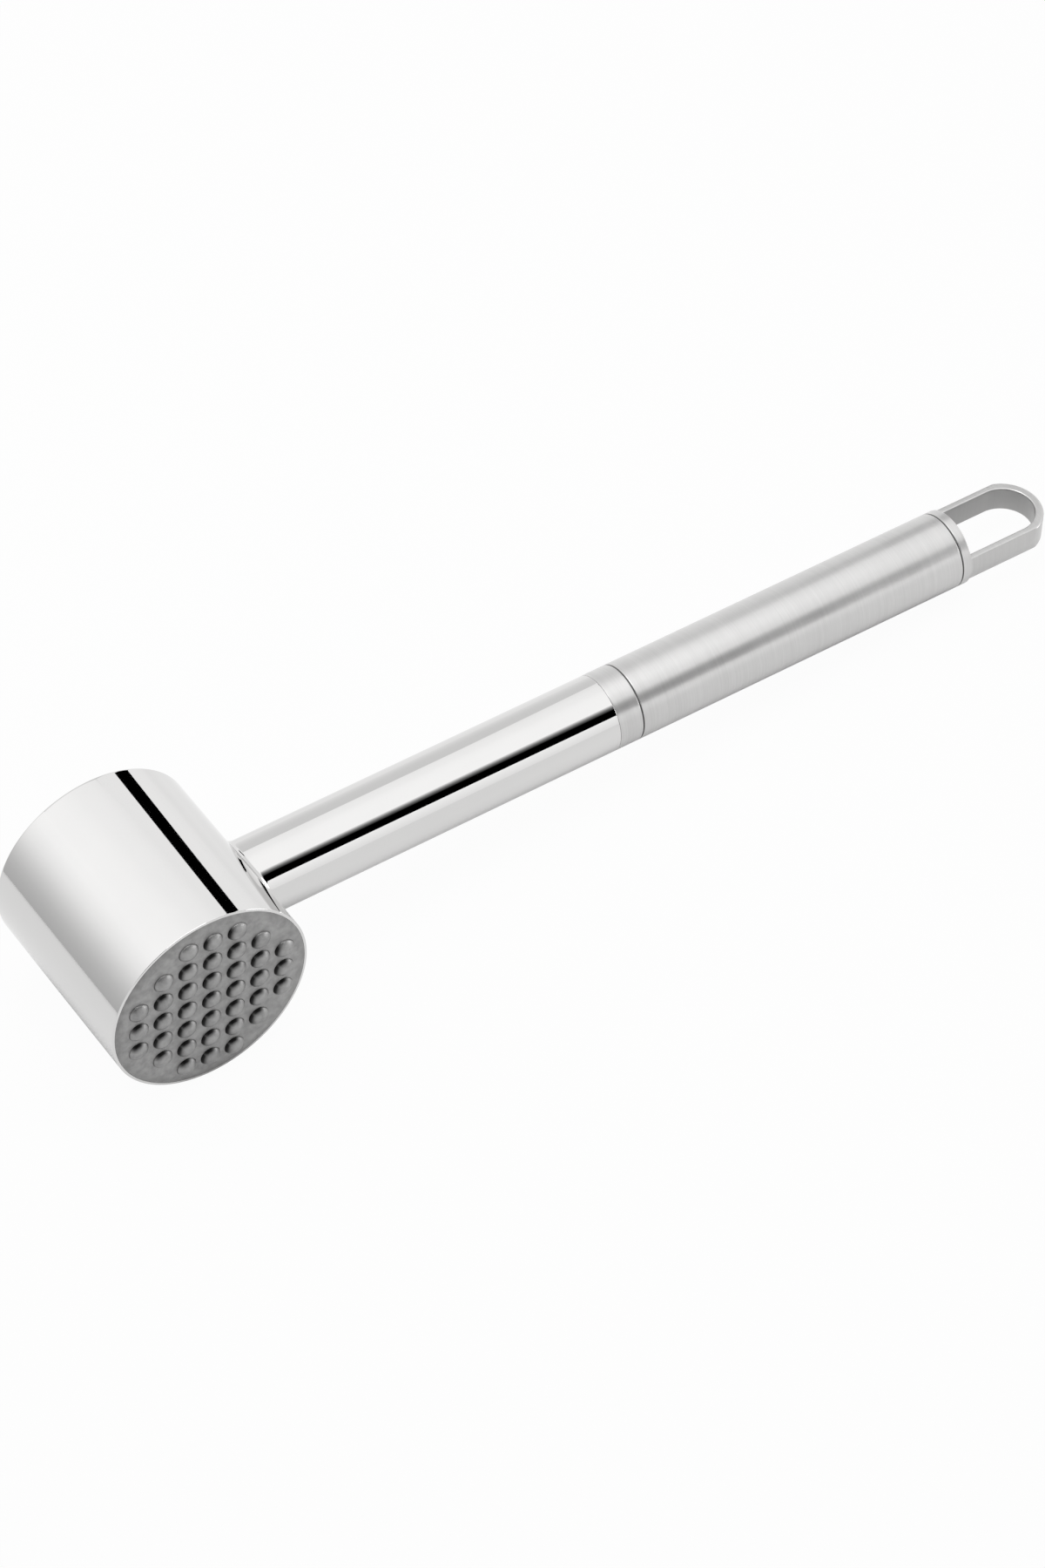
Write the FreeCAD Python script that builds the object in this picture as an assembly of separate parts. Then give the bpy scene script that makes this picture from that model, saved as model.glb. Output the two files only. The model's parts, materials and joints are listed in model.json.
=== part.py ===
import FreeCAD, Part
import math
import os

# Meat mallet, all stainless steel, lying at rest on a flat surface.
# It is modelled straight: X runs along the handle from the head to the hanging
# loop, Y runs along the head from the studded face to the smooth face, Z is up,
# and the head's axis crosses the handle's axis at the origin.  At the end every
# piece is tipped about the head's axis until the tail touches the surface too.
# All sizes are in millimetres.

V = FreeCAD.Vector

# ---- head ----
head_d = 52.7            # polished cup, outside
head_len = 52.7          # mouth of the cup to the smooth face
cup_wall = 3.5           # side wall of the cup
cup_floor = 5.0          # the closed end, whose outside is the smooth face
cup_edge = 0.5           # rounded edge of the smooth face
cup_lip_t = 0.65         # thin lip that is left round the studded face
cup_lip_edge = 0.12      # rounded outside of that lip

# ---- studded face ----
face_rise = 0.55         # how far the studs' ground stands out of the cup's mouth
face_border_w = 2.3      # border that falls from there to the lip in a low curve
face_flange_t = 1.5      # thickness of the flange that fills the mouth
face_plug_len = 6.0      # how far the face's plug goes on into the cup
stud_pitch = 6.53        # square grid
stud_field_r = 21.5      # studs stand wherever a grid point lies inside this radius
stud_turn = -2.6         # the grid's turn about the head's axis, degrees
stud_base_d = 5.2
stud_shoulder_d = 5.0    # where the steep wall meets the dome
stud_wall_h = 0.3
stud_h = 1.45            # to the top of the dome

# ---- handle ----
handle_d = 20.0
tube_wall = 1.5
foot_r = 2.0             # concave foot where the neck meets the head
neck_end_x = 126.7       # end of the polished neck, from the head's axis
collar_len = 6.8         # from there to the middle of the front groove
grip_len = 97.2          # from there to the middle of the rear groove
groove_w = 0.4           # gap that each seal ring fills
seal_recess = 0.3        # how far a seal ring lies below the surface
edge_break = 0.12        # broken edges at the joints
neck_spigot_len = 9.0
front_spigot_len = 12.0
rear_spigot_len = 16.0

# ---- tie rod and its fastening ----
rod_d = 8.0
rod_chamfer = 0.8
core_thread_len = 16.0   # thread engaged in the core
rod_stop = 3.0           # from the rod's end to the inner face of the cap's disc
washer_t = 2.0           # at its thinnest
nut_h = 4.0
nut_room = 1.0           # radial, between the nut's corners and the neck's bore

# ---- end cap and hanging loop ----
cap_disc_t = 2.4
loop_reach = 27.5        # from the disc to the tip of the loop
loop_h = 7.0             # across the two flats
loop_leg_t = 2.35        # band thickness beside the slot
loop_tip_t = 2.1         # band thickness at the tip
loop_edge = 0.35         # softened edges of the band

# ---- fits ----
plug_fit = 0.03          # radial, pieces pressed or brazed together
slip_fit = 0.08          # radial, spigots and washer in the tubes
thread_fit = 0.02        # radial, at the pitch line stand-in
hole_fit = 0.25          # radial, rod through plain holes
end_gap = 0.05           # between faces that close on each other

head_r = head_d / 2
bore_r = head_r - cup_wall
handle_r = handle_d / 2
tube_bore_r = handle_r - tube_wall
rod_r = rod_d / 2
mouth_y = -head_len / 2
back_y = head_len / 2
face_y = mouth_y - face_rise
flange_y = mouth_y + face_flange_t
plug_back_y = flange_y + face_plug_len
floor_y = back_y - cup_floor
washer_x = head_r + washer_t
nut_x = washer_x + nut_h
front_joint_x = neck_end_x + collar_len
rear_joint_x = front_joint_x + grip_len
disc_x = rear_joint_x + groove_w / 2
loop_x = disc_x + cap_disc_t
tip_x = loop_x + loop_reach
core_r = bore_r - plug_fit
flange_r = head_r - cup_lip_t - plug_fit
core_face_x = math.sqrt(core_r ** 2 - rod_r ** 2)
rod_start_x = core_face_x - core_thread_len
rod_end_x = disc_x - rod_stop


def rod_x(x0, x1, r):
    """Round bar along the handle's axis."""
    return Part.makeCylinder(r, x1 - x0, V(x0, 0, 0), V(1, 0, 0))


def rod_y(y0, y1, r):
    """Round bar along the head's axis."""
    return Part.makeCylinder(r, y1 - y0, V(0, y0, 0), V(0, 1, 0))


def ring_edges(shape, axis, station, radius):
    """Circular edges of one radius, centred on an axis ("x" or "y") at one station."""
    found = []
    for edge in shape.Edges:
        curve = edge.Curve
        if not isinstance(curve, Part.Circle):
            continue
        at = getattr(curve.Center, axis)
        if abs(at - station) < 1e-4 and abs(curve.Radius - radius) < 1e-4:
            found.append(edge)
    return found


def break_ring(shape, axis, station, radius, size):
    """Chamfer one round edge."""
    return shape.makeChamfer(size, ring_edges(shape, axis, station, radius))


def head_cup():
    """Polished cup: side wall and smooth striking face in one, with a stepped mouth."""
    cup = rod_y(mouth_y, back_y, head_r)
    cup = cup.makeFillet(cup_edge, ring_edges(cup, "y", back_y, head_r))
    cup = cup.makeFillet(cup_lip_edge, ring_edges(cup, "y", mouth_y, head_r))
    cup = cup.cut(rod_y(mouth_y - 1, floor_y, bore_r))
    cup = cup.cut(rod_y(mouth_y - 1, flange_y + end_gap, head_r - cup_lip_t))
    return cup.cut(rod_x(0, head_r + 1, rod_r + hole_fit))


def head_core():
    """Steel slug that fills the cup and takes the tie rod's thread."""
    core = rod_y(plug_back_y + end_gap, floor_y - end_gap, core_r)
    return core.cut(rod_x(rod_start_x - end_gap, head_r, rod_r + thread_fit))


def stud_profile():
    """Half section of one stud: steep drafted wall under a low dome, rooted in the face."""
    base = stud_base_d / 2
    shoulder = stud_shoulder_d / 2
    root = 0.5
    dome_h = stud_h - stud_wall_h
    dome_r = (shoulder ** 2 + dome_h ** 2) / (2 * dome_h)
    half = math.asin(shoulder / dome_r) / 2
    middle = V(dome_r * math.sin(half), -(stud_h - dome_r + dome_r * math.cos(half)), 0)
    corners = [V(0, root, 0), V(base, root, 0), V(base, 0, 0), V(shoulder, -stud_wall_h, 0)]
    top = V(0, -stud_h, 0)
    edges = [Part.LineSegment(a, b).toShape() for a, b in zip(corners, corners[1:])]
    edges.append(Part.Arc(corners[-1], middle, top).toShape())
    edges.append(Part.LineSegment(top, corners[0]).toShape())
    return Part.Face(Part.Wire(edges))


def stud_centres():
    """Grid points inside the field, turned about the head's axis."""
    reach = int(stud_field_r / stud_pitch) + 1
    turn = math.radians(stud_turn)
    centres = []
    for i in range(-reach, reach + 1):
        for j in range(-reach, reach + 1):
            if math.hypot(i, j) * stud_pitch > stud_field_r:
                continue
            x = stud_pitch * (i * math.cos(turn) - j * math.sin(turn))
            z = stud_pitch * (i * math.sin(turn) + j * math.cos(turn))
            centres.append((x, z))
    return centres


def face_plate():
    """Flange and plug of the cast face, turned, with the low curve of its border."""
    field_r = flange_r - face_border_w
    curve_r = (face_border_w ** 2 + face_rise ** 2) / (2 * face_rise)
    half = math.asin(face_border_w / curve_r) / 2
    middle = V(field_r + curve_r * math.sin(half), face_y + curve_r * (1 - math.cos(half)), 0)
    corners = [
        V(flange_r, mouth_y, 0),
        V(flange_r, flange_y, 0),
        V(core_r, flange_y, 0),
        V(core_r, plug_back_y, 0),
        V(0, plug_back_y, 0),
        V(0, face_y, 0),
        V(field_r, face_y, 0),
    ]
    edges = [Part.LineSegment(a, b).toShape() for a, b in zip(corners, corners[1:])]
    edges.append(Part.Arc(corners[-1], middle, corners[0]).toShape())
    return Part.Face(Part.Wire(edges)).revolve(V(0, 0, 0), V(0, 1, 0), 360)


def studded_face():
    """Cast striking face: plate with the studs standing on it, in one piece."""
    face = face_plate()
    stud = stud_profile().revolve(V(0, 0, 0), V(0, 1, 0), 360)
    studs = []
    for x, z in stud_centres():
        copy = stud.copy()
        copy.translate(V(x, face_y, z))
        studs.append(copy)
    return face.fuse(studs).removeSplitter()


def tie_rod():
    """Rod from the core's thread to the end cap's thread, which clamps the handle."""
    rod = rod_x(rod_start_x, rod_end_x, rod_r)
    for station in (rod_start_x, rod_end_x):
        rod = break_ring(rod, "x", station, rod_r, rod_chamfer)
    return rod


def saddle_washer():
    """Washer whose underside follows the cup; its rim centres the neck."""
    washer = rod_x(0, washer_x, tube_bore_r - slip_fit)
    washer = washer.cut(rod_y(face_y, back_y, head_r + plug_fit))
    washer = washer.cut(rod_x(0, washer_x + 1, rod_r + hole_fit))
    return max(washer.Solids, key=lambda solid: solid.Volume)


def jam_nut():
    """Thin hexagon nut that locks the rod in the core through the cup's wall."""
    corner_r = tube_bore_r - nut_room
    corners = []
    for k in range(7):
        angle = math.radians(60 * k)
        corners.append(V(washer_x + end_gap, corner_r * math.cos(angle), corner_r * math.sin(angle)))
    nut = Part.Face(Part.makePolygon(corners)).extrude(V(nut_h, 0, 0))
    return nut.cut(rod_x(washer_x, nut_x + 1, rod_r + thread_fit))


def neck_tube():
    """Polished neck: a tube whose flared foot is cut to sit on the cup's side."""
    seat = rod_y(-head_len, head_len, head_r)
    body = seat.fuse(rod_x(0, neck_end_x, handle_r))
    joint = [edge for edge in body.Edges if isinstance(edge.Curve, Part.BSplineCurve)]
    body = body.makeFillet(foot_r, joint)
    body = break_ring(body, "x", neck_end_x, handle_r, edge_break)
    body = body.cut(rod_y(-head_len - 1, head_len + 1, head_r + plug_fit))
    neck = body.cut(rod_x(0, neck_end_x + 1, tube_bore_r))
    return max(neck.Solids, key=lambda solid: solid.Volume)


def front_cap():
    """Satin collar between neck and grip, with a spigot for each and a hole for the rod."""
    x0 = neck_end_x + end_gap
    x1 = front_joint_x - groove_w / 2
    cap = rod_x(x0, x1, handle_r)
    cap = break_ring(cap, "x", x0, handle_r, edge_break)
    cap = break_ring(cap, "x", x1, handle_r, edge_break)
    cap = cap.fuse(rod_x(x0 - neck_spigot_len, x1 + front_spigot_len, tube_bore_r - slip_fit))
    return cap.cut(rod_x(x0 - neck_spigot_len - 1, x1 + front_spigot_len + 1, rod_r + hole_fit))


def seal_ring(joint_x):
    """Dark ring in the groove between two handle pieces."""
    x0 = joint_x - groove_w / 2
    ring = rod_x(x0, x0 + groove_w, handle_r - seal_recess)
    return ring.cut(rod_x(x0 - 1, x0 + groove_w + 1, tube_bore_r))


def grip_tube():
    """Satin grip between the two grooves."""
    x0 = front_joint_x + groove_w / 2
    x1 = rear_joint_x - groove_w / 2
    tube = rod_x(x0, x1, handle_r)
    tube = break_ring(tube, "x", x0, handle_r, edge_break)
    tube = break_ring(tube, "x", x1, handle_r, edge_break)
    return tube.cut(rod_x(x0 - 1, x1 + 1, tube_bore_r))


def stadium(half_w, x_far, height):
    """Slab with a half-round far end, centred on the handle's axis."""
    centre_x = x_far - half_w
    near = V(loop_x, -half_w, -height / 2)
    a = V(centre_x, -half_w, -height / 2)
    b = V(x_far, 0, -height / 2)
    c = V(centre_x, half_w, -height / 2)
    far = V(loop_x, half_w, -height / 2)
    edges = [
        Part.LineSegment(near, a).toShape(),
        Part.Arc(a, b, c).toShape(),
        Part.LineSegment(c, far).toShape(),
        Part.LineSegment(far, near).toShape(),
    ]
    return Part.Face(Part.Wire(edges)).extrude(V(0, 0, height))


def hanging_loop():
    """Loop milled from the round bar: two flats, a rounded tip and a through slot."""
    bar = rod_x(loop_x, tip_x, handle_r)
    band = bar.common(stadium(handle_r, tip_x, loop_h))
    band = band.cut(stadium(handle_r - loop_leg_t, tip_x - loop_tip_t, handle_d))
    flats = []
    for edge in band.Edges:
        box = edge.BoundBox
        on_flat = box.ZLength < 1e-3 and abs(abs(box.ZMin) - loop_h / 2) < 1e-3
        if on_flat and box.XMax > loop_x + 1e-3:
            flats.append(edge)
    return band.makeFillet(loop_edge, flats)


def end_cap():
    """Rear cap: disc, hanging loop, and a threaded spigot that closes the handle."""
    disc = rod_x(disc_x, loop_x, handle_r)
    disc = break_ring(disc, "x", disc_x, handle_r, edge_break)
    cap = disc.fuse([hanging_loop(), rod_x(disc_x - rear_spigot_len, disc_x, tube_bore_r - slip_fit)])
    return cap.cut(rod_x(disc_x - rear_spigot_len - 1, rod_end_x + end_gap, rod_r + thread_fit))


def rest_angle():
    """Tip that brings the cap's lower edge down to the surface the head lies on."""
    reach = math.hypot(loop_x, handle_r)
    return math.degrees(math.asin(head_r / reach) - math.atan2(handle_r, loop_x))


pieces = {
    "head_cup": head_cup(),
    "head_core": head_core(),
    "studded_face": studded_face(),
    "tie_rod": tie_rod(),
    "saddle_washer": saddle_washer(),
    "jam_nut": jam_nut(),
    "neck_tube": neck_tube(),
    "front_cap": front_cap(),
    "front_seal": seal_ring(front_joint_x),
    "grip_tube": grip_tube(),
    "rear_seal": seal_ring(rear_joint_x),
    "end_cap": end_cap(),
}

tip = rest_angle()
for shape in pieces.values():
    shape.rotate(V(0, 0, 0), V(0, 1, 0), tip)
whole = Part.makeCompound(list(pieces.values())).optimalBoundingBox(False, False)
stand = V(-whole.Center.x, -whole.Center.y, head_r)

os.makedirs("parts", exist_ok=True)
for name, shape in pieces.items():
    shape.translate(stand)
    shape.exportStep("parts/" + name + ".step")
    box = shape.optimalBoundingBox(False, False)
    print(name, len(shape.Solids), shape.isValid(), round(shape.Volume, 1),
          [round(v, 3) for v in (box.XMin, box.YMin, box.ZMin, box.XMax, box.YMax, box.ZMax)])
print("tip", round(tip, 4), "stand", [round(v, 4) for v in stand])
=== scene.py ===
# %% [markdown]
# # A steel meat mallet, dressed in Blender
# The mallet is all stainless steel: a polished head with a cast studded face,
# a polished neck, a satin grip and an end cap with a milled hanging loop.
# The working part is already built to size as a CAD model, so this lesson loads
# it as a fixed frame, makes smooth skins for the pieces that act as mirrors,
# gives every piece its finish, and lights it like a small product studio.

# %% Load the frame
import json
from math import acos, atan2, cos, degrees, hypot, pi, radians, sin, sqrt, tan

import bmesh
import bpy
from mathutils import Matrix, Vector


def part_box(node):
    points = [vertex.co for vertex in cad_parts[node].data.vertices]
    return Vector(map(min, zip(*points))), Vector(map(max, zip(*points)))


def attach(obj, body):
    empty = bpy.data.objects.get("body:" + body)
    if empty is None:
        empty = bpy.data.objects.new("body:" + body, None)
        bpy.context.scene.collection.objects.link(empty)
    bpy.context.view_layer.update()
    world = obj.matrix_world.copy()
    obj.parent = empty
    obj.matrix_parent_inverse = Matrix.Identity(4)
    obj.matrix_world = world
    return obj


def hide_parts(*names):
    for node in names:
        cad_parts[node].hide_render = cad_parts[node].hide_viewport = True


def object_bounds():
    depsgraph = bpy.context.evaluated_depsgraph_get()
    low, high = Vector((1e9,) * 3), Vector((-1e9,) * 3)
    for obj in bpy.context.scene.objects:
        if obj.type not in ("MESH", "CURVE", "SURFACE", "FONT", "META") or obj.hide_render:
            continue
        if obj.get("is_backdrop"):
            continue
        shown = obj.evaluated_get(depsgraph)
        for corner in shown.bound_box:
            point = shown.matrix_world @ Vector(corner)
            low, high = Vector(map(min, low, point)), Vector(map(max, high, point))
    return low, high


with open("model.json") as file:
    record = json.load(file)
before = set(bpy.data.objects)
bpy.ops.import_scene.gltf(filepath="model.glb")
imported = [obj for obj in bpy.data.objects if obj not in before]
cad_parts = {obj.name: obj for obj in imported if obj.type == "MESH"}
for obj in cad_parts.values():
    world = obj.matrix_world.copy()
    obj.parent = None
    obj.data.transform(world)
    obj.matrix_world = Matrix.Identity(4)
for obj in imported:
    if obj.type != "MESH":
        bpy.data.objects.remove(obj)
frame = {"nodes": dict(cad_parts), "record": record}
cad_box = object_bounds()
MM = 0.001
print("nodes in the frame:", sorted(frame["nodes"]))

# %% [markdown]
# ## Where the mallet lies
# The mallet is drawn straight: X runs along the handle, Y along the head, and
# the two axes cross at the origin. At rest its tail drops until it touches the
# table, so the whole drawing is tipped about the head's axis. The record keeps
# the direction of the hanging slot, which gives that tip. `place` then carries
# any point of the drawing, in millimetres, to its spot on the table, and `undo`
# carries it back.

# %% The drawing's place on the table
slot_axis = next(m["axis"] for m in frame["record"]["mounts"] if m["name"] == "hang_loop")
dip = atan2(slot_axis[0], slot_axis[2])
cup_low, cup_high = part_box("head_cup")
rod_low, rod_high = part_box("tie_rod")
head_r = (cup_high.z - cup_low.z) / 2 / MM
crossing = Vector(((cup_low.x + cup_high.x) / 2, (rod_low.y + rod_high.y) / 2, head_r * MM))
place = Matrix.Translation(crossing) @ Matrix.Rotation(dip, 4, "Y") @ Matrix.Scale(MM, 4)
undo = place.inverted()
back_y = (cup_high.y - crossing.y) / MM
mouth_y = (cup_low.y - crossing.y) / MM
stud_top_y = (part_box("studded_face")[0].y - crossing.y) / MM
print(f"dip {degrees(dip):.3f} deg, head radius {head_r:.2f} mm, "
      f"smooth face at {back_y:.2f} mm")

# %% [markdown]
# ## Stations along the handle
# Every turned piece of the handle is a stack of rings at known distances from
# the head. A CAD box gives the ends of a piece once the dip is undone, so a
# helper turns a node's mesh back into the straight drawing and reads its ends.

# %% Read the handle's stations


def span(node):
    """Lowest and highest corner of a CAD node in the straight drawing, in mm."""
    points = [undo @ v.co for v in frame["nodes"][node].data.vertices]
    return (Vector([min(p[k] for p in points) for k in range(3)]),
            Vector([max(p[k] for p in points) for k in range(3)]))


TUBE_WALL = 1.5
neck_end = span("neck_tube")[1].x
collar_start, collar_end = (end.x for end in span("front_cap"))
front_seal_start, front_seal_end = (end.x for end in span("front_seal"))
grip_start, grip_end = (end.x for end in span("grip_tube"))
rear_seal_end = span("rear_seal")[1].x
cap_start, cap_tip = (end.x for end in span("end_cap"))
rod_end = span("tie_rod")[1].x
handle_r = span("grip_tube")[1].z
bore_r = handle_r - TUBE_WALL
print(f"neck ends {neck_end:.2f}, grip {grip_start:.2f} to {grip_end:.2f}, "
      f"loop tip {cap_tip:.2f}, radius {handle_r:.2f}")

# %% [markdown]
# ## The camera
# A long lens from well above flattens perspective. The camera's place is given
# as a tripod is set: a target on the table, an angle round it, a height angle,
# a distance and a small roll.

# %% Set the camera


def show(name, data):
    """A new object in the scene that carries the data."""
    made = bpy.data.objects.new(name, data)
    bpy.context.scene.collection.objects.link(made)
    return made


cam_target = Vector((-0.01032, 0.00578, 0.0))
cam_azimuth, cam_height, cam_roll = (radians(a) for a in (-31.42, 49.262, -3.344))
cam_distance = 1.290
back = Vector((sin(cam_azimuth) * cos(cam_height),
               -cos(cam_azimuth) * cos(cam_height),
               sin(cam_height)))
side = (-back).cross(Vector((0, 0, 1))).normalized()
rise = side.cross(-back)
right = side * cos(cam_roll) + rise * sin(cam_roll)
up = rise * cos(cam_roll) - side * sin(cam_roll)
turn = Matrix((right, up, back)).transposed().to_4x4()
camera = show("camera", bpy.data.cameras.new("camera"))
camera.matrix_world = Matrix.Translation(cam_target + back * cam_distance) @ turn
camera.data.sensor_width = 36
camera.data.lens = 120.97
camera.data.clip_end = 20
scene = bpy.context.scene
scene.camera = camera
scene.view_settings.view_transform = "Standard"
print("camera at", [round(c, 3) for c in camera.location])

# %% [markdown]
# ## Building materials from small node recipes
# A material is a little network. Writing the same three lines for each node
# hides the idea, so `add` makes a node and `feed` fills its inputs: a plain
# value is set, an output is wired, and a node stands for its first output. The
# other helpers are the nodes that come back most. Effects that several finishes
# share become node groups: they give out only masks and heights, and the shader
# stays in the material.

# %% Node helpers


def feed(node, inputs):
    """Set plain values on a node's inputs, and wire other nodes' outputs to them."""
    for key, value in inputs.items():
        if isinstance(value, bpy.types.Node):
            value = value.outputs[0]
        if isinstance(value, bpy.types.NodeSocket):
            node.id_data.links.new(value, node.inputs[key])
        else:
            node.inputs[key].default_value = value


def add(tree, kind, inputs=None, **settings):
    """Make a node with its settings, and feed its inputs."""
    node = tree.nodes.new(kind)
    for key, value in settings.items():
        setattr(node, key, value)
    feed(node, inputs or {})
    return node


def maths(tree, operation, *terms):
    """One Math node; the terms are outputs of nodes, or numbers."""
    return add(tree, "ShaderNodeMath", dict(enumerate(terms)), operation=operation).outputs[0]


def vector_maths(tree, operation, *terms):
    """One Vector Math node; some operations give out a number."""
    node = add(tree, "ShaderNodeVectorMath", dict(enumerate(terms)), operation=operation)
    to_number = operation in ("LENGTH", "DISTANCE", "DOT_PRODUCT")
    return node.outputs["Value" if to_number else "Vector"]


def remap(tree, value, source, target=(0.0, 1.0), **settings):
    """Carry a value from the source range to the target range, and stop at its ends."""
    return add(tree, "ShaderNodeMapRange", {
        "Value": value, "From Min": source[0], "From Max": source[1],
        "To Min": target[0], "To Max": target[1]}, **settings).outputs["Result"]


def blend(tree, factor, a, b, kind="RGBA"):
    """From a to b as the factor rises; colours, or numbers with kind FLOAT."""
    return add(tree, "ShaderNodeMix", {"Factor": factor, "A": a, "B": b},
               data_type=kind).outputs["Result"]


def noise(tree, spot, scale, detail, roughness=0.5):
    """Soft noise between 0 and 1; a larger scale is finer."""
    return add(tree, "ShaderNodeTexNoise", {
        "Vector": spot, "Scale": scale, "Detail": detail,
        "Roughness": roughness}).outputs["Fac"]


def bump(tree, height, strength, distance):
    """A normal that follows the height; the distance is in metres."""
    return add(tree, "ShaderNodeBump", {
        "Height": height, "Strength": strength, "Distance": distance}).outputs["Normal"]


def shift(tree, spot, location=(0, 0, 0), rotation=(0, 0, 0), scale=(1, 1, 1)):
    """The spot scaled, turned and moved."""
    return add(tree, "ShaderNodeMapping", {
        "Vector": spot, "Location": location, "Rotation": rotation,
        "Scale": scale}).outputs[0]


def object_spot(tree):
    """The place on the object, in metres."""
    return add(tree, "ShaderNodeTexCoord").outputs["Object"]


def handle_spot(tree):
    """The place on the object, turned back by the dip: X runs along the handle."""
    return shift(tree, object_spot(tree), rotation=(0, -dip, 0))


def attribute(tree, name):
    """A number that the mesh carries at its points."""
    return add(tree, "ShaderNodeAttribute", attribute_name=name).outputs["Fac"]


def new_tree(name, kind, inputs, outputs):
    """An empty node tree, the sockets of its named inputs, and its output node."""
    tree = bpy.data.node_groups.new(name, kind)
    for label, socket_kind, default in inputs:
        socket = tree.interface.new_socket(label, in_out="INPUT",
                                           socket_type="NodeSocket" + socket_kind)
        if default is not None:
            socket.default_value = default
    for label, socket_kind in outputs:
        tree.interface.new_socket(label, in_out="OUTPUT",
                                  socket_type="NodeSocket" + socket_kind)
    return tree, tree.nodes.new("NodeGroupInput").outputs, tree.nodes.new("NodeGroupOutput")


def place_effect(tree, group, spot, sizes):
    """Put one of the groups into a material; gives its outputs."""
    return add(tree, "ShaderNodeGroup", {"Vector": spot, **sizes}, node_tree=group).outputs


def blank_material(name):
    """A material with its Principled shader and nothing else."""
    material = bpy.data.materials.new(name)
    material.use_nodes = True
    return material, material.node_tree, material.node_tree.nodes["Principled BSDF"]


print("node helpers ready")

# %% [markdown]
# ## Handling marks
# Steel that has been held and wiped is never even: faint clouds where it was
# wiped, and hairline scratches that run every way. Clouds come from soft noise.
# Hairlines come from noise squeezed into long thin streaks in two directions,
# with only its rare peaks kept. They only nudge the shade, roughness and bump.

# %% Group: handling marks
marks, marks_in, marks_out = new_tree(
    "handling_marks", "ShaderNodeTree",
    [("Vector", "Vector", None), ("Cloud Size", "Float", 60.0), ("Hairline Size", "Float", 900.0)],
    [("Clouds", "Float"), ("Hairlines", "Float")])
streaks = []
for angle, squeeze in ((0.5, 0.03), (-0.9, 0.02)):
    turned_way = shift(marks, marks_in["Vector"],
                       rotation=(0.3, angle, angle), scale=(1.0, squeeze, squeeze))
    thread = noise(marks, turned_way, marks_in["Hairline Size"], detail=1.0)
    streaks.append(remap(marks, thread, (0.66, 0.74)))
feed(marks_out, {
    "Clouds": noise(marks, marks_in["Vector"], marks_in["Cloud Size"], 3.0, 0.6),
    "Hairlines": maths(marks, "MAXIMUM", *streaks)})
print("handling marks:", len(marks.nodes), "nodes")

# %% [markdown]
# ## Brushed lines
# A satin handle is spun against a fine belt, so its lines run round it: they
# change quickly along the handle and hardly at all around it. The group
# squeezes noise along X for that. The materials give it a place turned back by
# the handle's dip, so that the lines stay square to the handle.

# %% Group: brushed lines
lines, lines_in, lines_out = new_tree(
    "brushed_lines", "ShaderNodeTree",
    [("Vector", "Vector", None), ("Line Size", "Float", 2500.0), ("Band Size", "Float", 250.0)],
    [("Lines", "Float"), ("Bands", "Float")])
for label, size, stretch in (("Lines", "Line Size", 0.02), ("Bands", "Band Size", 0.05)):
    squeezed = shift(lines, lines_in["Vector"], scale=(1.0, stretch, stretch))
    feed(lines_out, {label: noise(lines, squeezed, lines_in[size], 2.0, 0.6)})
print("brushed lines:", len(lines.nodes), "nodes")

# %% [markdown]
# ## Cast and blasted grain
# The studded face is cast and then blasted with beads, which leaves a dull skin
# of tiny dimples over soft unevenness from the mould. Two sizes of noise give
# the height, and the softer one also shifts the shade a little.

# %% Group: blasted grain
blast, blast_in, blast_out = new_tree(
    "blasted_grain", "ShaderNodeTree",
    [("Vector", "Vector", None), ("Dimple Size", "Float", 2600.0), ("Mould Size", "Float", 240.0)],
    [("Height", "Float"), ("Shade", "Float")])
spot = blast_in["Vector"]
dimples = noise(blast, spot, blast_in["Dimple Size"], 2.0, 0.55)
mould = noise(blast, spot, blast_in["Mould Size"], 3.0, 0.6)
feed(blast_out, {"Height": maths(blast, "MULTIPLY_ADD", mould, 0.6, dimples), "Shade": mould})
print("blasted grain:", len(blast.nodes), "nodes")

# %% [markdown]
# ## Polished steel
# Mirror-polished stainless gives back about two thirds of the light, a little
# less than silver, with almost no colour. Its roughness is close to nothing,
# so its whole look comes from what stands around it. The marks keep it from
# looking like a computer's perfect mirror.

# %% Material: polished steel
polished, tree, shader = blank_material("polished_steel")
wear = place_effect(tree, marks, object_spot(tree), {"Cloud Size": 70.0, "Hairline Size": 1100.0})
clouds, hairlines = wear["Clouds"], wear["Hairlines"]
sheen = remap(tree, clouds, (0.35, 0.75), (0.015, 0.05))
feed(shader, {
    "Metallic": 1.0,
    "Base Color": blend(tree, clouds, (0.672, 0.667, 0.662, 1), (0.648, 0.645, 0.642, 1)),
    "Roughness": maths(tree, "MULTIPLY_ADD", hairlines, 0.02, sheen),
    "Normal": bump(tree, hairlines, 0.008, 0.00001)})
print("polished steel ready")
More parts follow.
